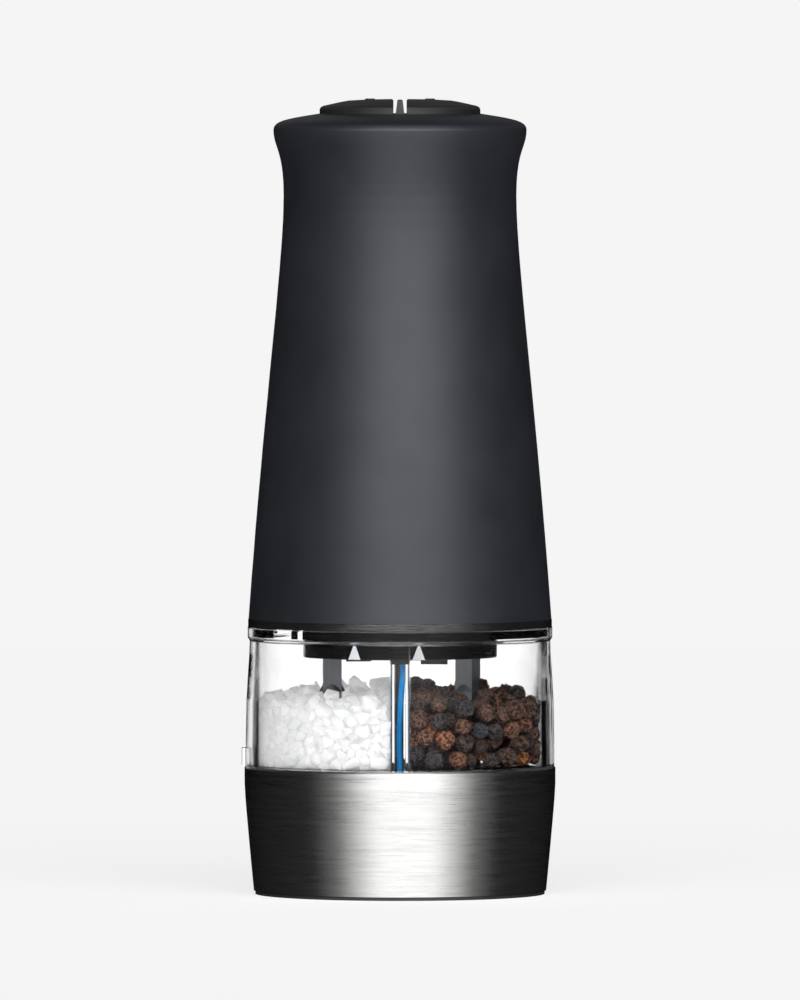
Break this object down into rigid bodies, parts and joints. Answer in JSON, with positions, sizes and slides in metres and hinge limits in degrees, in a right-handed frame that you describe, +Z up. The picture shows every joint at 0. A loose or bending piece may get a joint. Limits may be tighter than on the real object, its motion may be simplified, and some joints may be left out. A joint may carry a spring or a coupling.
{
  "type": "electric salt and pepper mill",
  "caption": "Upright battery-driven mill with two clear D-shaped spice chambers, brushed steel base, flared matt black housing and two half-moon push buttons on top.",
  "frame": {"origin": "centre of the foot ring on the ground plane", "axes": "+Z up along the mill's axis, salt chamber on -X, pepper chamber on +X, front faces -Y"},
  "size_m": [0.0785, 0.0778, 0.1989],
  "materials": {
    "brushed_steel_sleeve": "fine circumferential brushing",
    "black_plastic": "fine texture",
    "zinc_screw": "plated",
    "clear_acrylic": "clear, polished",
    "contact_brass": "plain",
    "blue_sleeve": "smooth wire sleeve",
    "black_sleeve": "smooth wire sleeve",
    "lamp_clear": "clear",
    "circuit_board": "green solder mask",
    "white_ceramic": "unglazed",
    "salt": "coarse translucent crystals",
    "peppercorn": "wrinkled dried berries",
    "shaft_steel": "drawn bar",
    "black_gloss": "polished",
    "white_mark": "inlaid",
    "gear_plastic": "moulded",
    "gear_brass": "cut",
    "motor_can": "plated can",
    "cell_wrap": "plain wrapper",
    "spring_wire": "drawn wire",
    "soft_touch_black": "soft-touch paint"
  },
  "bodies": {
    "hopper_unit": {"hopper": "clear_acrylic", "steel_sleeve": "brushed_steel_sleeve", "base_carrier": "black_plastic", "base_plate": "black_plastic", "base_screws": "zinc_screw", "contact_block": "black_plastic", "contact_pads": "contact_brass", "blue_wire": "blue_sleeve", "black_wire": "black_sleeve", "led_lamp": "lamp_clear", "led_board": "circuit_board", "led_lens": "lamp_clear", "salt_stator": "white_ceramic", "pepper_stator": "white_ceramic", "salt_bridge": "black_plastic", "pepper_bridge": "black_plastic", "salt_fill": "salt", "pepper_fill": "peppercorn"},
    "power_unit": {"power_base": "black_gloss", "triangle_marks": "white_mark", "contact_pins": "contact_brass", "salt_gear_case": "gear_plastic", "pepper_gear_case": "gear_plastic", "salt_motor": "motor_can", "pepper_motor": "motor_can", "motor_frame": "black_plastic", "frame_screws": "zinc_screw", "battery_holder": "black_plastic", "battery_cells": "cell_wrap", "battery_springs": "spring_wire", "battery_strips": "contact_brass", "switch_board": "circuit_board", "push_switches": "black_plastic"},
    "housing_unit": {"housing": "soft_touch_black", "button_seat": "black_plastic", "salt_button_spring": "spring_wire", "pepper_button_spring": "spring_wire"},
    "salt_drive": {"salt_shaft": "shaft_steel", "salt_clip": "shaft_steel"},
    "salt_burr": {"salt_rotor": "white_ceramic"},
    "salt_grind_knob": {"salt_adjuster": "black_plastic"},
    "salt_output": {"salt_carrier": "gear_plastic"},
    "salt_sun": {"salt_sun_gear": "gear_brass"},
    "salt_button": {"salt_button": "soft_touch_black"},
    "salt_plunger": {"salt_plunger": "gear_plastic"},
    "salt_planet_1": {"salt_planet_1": "gear_plastic"},
    "salt_planet_2": {"salt_planet_2": "gear_plastic"},
    "salt_planet_3": {"salt_planet_3": "gear_plastic"},
    "pepper_drive": {"pepper_shaft": "shaft_steel", "pepper_clip": "shaft_steel"},
    "pepper_burr": {"pepper_rotor": "white_ceramic"},
    "pepper_grind_knob": {"pepper_adjuster": "black_plastic"},
    "pepper_output": {"pepper_carrier": "gear_plastic"},
    "pepper_sun": {"pepper_sun_gear": "gear_brass"},
    "pepper_button": {"pepper_button": "soft_touch_black"},
    "pepper_plunger": {"pepper_plunger": "gear_plastic"},
    "pepper_planet_1": {"pepper_planet_1": "gear_plastic"},
    "pepper_planet_2": {"pepper_planet_2": "gear_plastic"},
    "pepper_planet_3": {"pepper_planet_3": "gear_plastic"}
  },
  "joints": [
    {"name": "power_lift", "type": "slide", "parent": "hopper_unit", "child": "power_unit", "axis": [0, 0, 1], "range_m": [0, 0.045]},
    {"name": "housing_lift", "type": "slide", "parent": "power_unit", "child": "housing_unit", "axis": [0, 0, 1], "range_m": [0, 0.125]},
    {"name": "salt_shaft_spin", "type": "hinge", "parent": "hopper_unit", "child": "salt_drive", "pos_m": [-0.017, 0, 0.0285], "axis": [0, 0, 1], "continuous": true},
    {"name": "salt_burr_lift", "type": "slide", "parent": "salt_drive", "child": "salt_burr", "axis": [0, 0, 1], "range_m": [0, 0.0007]},
    {"name": "salt_grind_set", "type": "hinge", "parent": "salt_drive", "child": "salt_grind_knob", "pos_m": [-0.017, 0, 0.005], "axis": [0, 0, 1], "range_deg": [0, 360]},
    {"name": "salt_output_spin", "type": "hinge", "parent": "power_unit", "child": "salt_output", "pos_m": [-0.017, 0, 0.066], "axis": [0, 0, 1], "continuous": true},
    {"name": "salt_planet_1_spin", "type": "hinge", "parent": "salt_output", "child": "salt_planet_1", "pos_m": [-0.0095, 0, 0.0762], "axis": [0, 0, 1], "continuous": true},
    {"name": "salt_planet_2_spin", "type": "hinge", "parent": "salt_output", "child": "salt_planet_2", "pos_m": [-0.02075, 0.0065, 0.0762], "axis": [0, 0, 1], "continuous": true},
    {"name": "salt_planet_3_spin", "type": "hinge", "parent": "salt_output", "child": "salt_planet_3", "pos_m": [-0.02075, -0.0065, 0.0762], "axis": [0, 0, 1], "continuous": true},
    {"name": "salt_sun_spin", "type": "hinge", "parent": "power_unit", "child": "salt_sun", "pos_m": [-0.017, 0, 0.0762], "axis": [0, 0, 1], "continuous": true},
    {"name": "salt_press", "type": "slide", "parent": "housing_unit", "child": "salt_button", "axis": [0, 0, -1], "range_m": [0, 0.0018], "stiffness_N_per_m": 600, "springref_m": -0.002, "deforming": ["salt_button_spring"]},
    {"name": "salt_plunger_slide", "type": "slide", "parent": "power_unit", "child": "salt_plunger", "axis": [0, 0, -1], "range_m": [0, 0.0018]},
    {"name": "pepper_shaft_spin", "type": "hinge", "parent": "hopper_unit", "child": "pepper_drive", "pos_m": [0.017, 0, 0.0285], "axis": [0, 0, 1], "continuous": true},
    {"name": "pepper_burr_lift", "type": "slide", "parent": "pepper_drive", "child": "pepper_burr", "axis": [0, 0, 1], "range_m": [0, 0.0007]},
    {"name": "pepper_grind_set", "type": "hinge", "parent": "pepper_drive", "child": "pepper_grind_knob", "pos_m": [0.017, 0, 0.005], "axis": [0, 0, 1], "range_deg": [0, 360]},
    {"name": "pepper_output_spin", "type": "hinge", "parent": "power_unit", "child": "pepper_output", "pos_m": [0.017, 0, 0.066], "axis": [0, 0, 1], "continuous": true},
    {"name": "pepper_planet_1_spin", "type": "hinge", "parent": "pepper_output", "child": "pepper_planet_1", "pos_m": [0.0245, 0, 0.0762], "axis": [0, 0, 1], "continuous": true},
    {"name": "pepper_planet_2_spin", "type": "hinge", "parent": "pepper_output", "child": "pepper_planet_2", "pos_m": [0.01325, 0.0065, 0.0762], "axis": [0, 0, 1], "continuous": true},
    {"name": "pepper_planet_3_spin", "type": "hinge", "parent": "pepper_output", "child": "pepper_planet_3", "pos_m": [0.01325, -0.0065, 0.0762], "axis": [0, 0, 1], "continuous": true},
    {"name": "pepper_sun_spin", "type": "hinge", "parent": "power_unit", "child": "pepper_sun", "pos_m": [0.017, 0, 0.0762], "axis": [0, 0, 1], "continuous": true},
    {"name": "pepper_press", "type": "slide", "parent": "housing_unit", "child": "pepper_button", "axis": [0, 0, -1], "range_m": [0, 0.0018], "stiffness_N_per_m": 600, "springref_m": -0.002, "deforming": ["pepper_button_spring"]},
    {"name": "pepper_plunger_slide", "type": "slide", "parent": "power_unit", "child": "pepper_plunger", "axis": [0, 0, -1], "range_m": [0, 0.0018]}
  ],
  "couplings": [
    {"joint": "salt_grind_set", "follows": "salt_burr_lift", "rad_per_m": 8976},
    {"joint": "salt_output_spin", "follows": "salt_shaft_spin", "ratio": 1},
    {"joint": "salt_planet_1_spin", "follows": "salt_shaft_spin", "ratio": -2.6667},
    {"joint": "salt_planet_2_spin", "follows": "salt_shaft_spin", "ratio": -2.6667},
    {"joint": "salt_planet_3_spin", "follows": "salt_shaft_spin", "ratio": -2.6667},
    {"joint": "salt_sun_spin", "follows": "salt_shaft_spin", "ratio": 5},
    {"joint": "salt_plunger_slide", "follows": "salt_press", "ratio": 1},
    {"joint": "pepper_grind_set", "follows": "pepper_burr_lift", "rad_per_m": 8976},
    {"joint": "pepper_output_spin", "follows": "pepper_shaft_spin", "ratio": 1},
    {"joint": "pepper_planet_1_spin", "follows": "pepper_shaft_spin", "ratio": -2.6667},
    {"joint": "pepper_planet_2_spin", "follows": "pepper_shaft_spin", "ratio": -2.6667},
    {"joint": "pepper_planet_3_spin", "follows": "pepper_shaft_spin", "ratio": -2.6667},
    {"joint": "pepper_sun_spin", "follows": "pepper_shaft_spin", "ratio": 5},
    {"joint": "pepper_plunger_slide", "follows": "pepper_press", "ratio": 1}
  ]
}
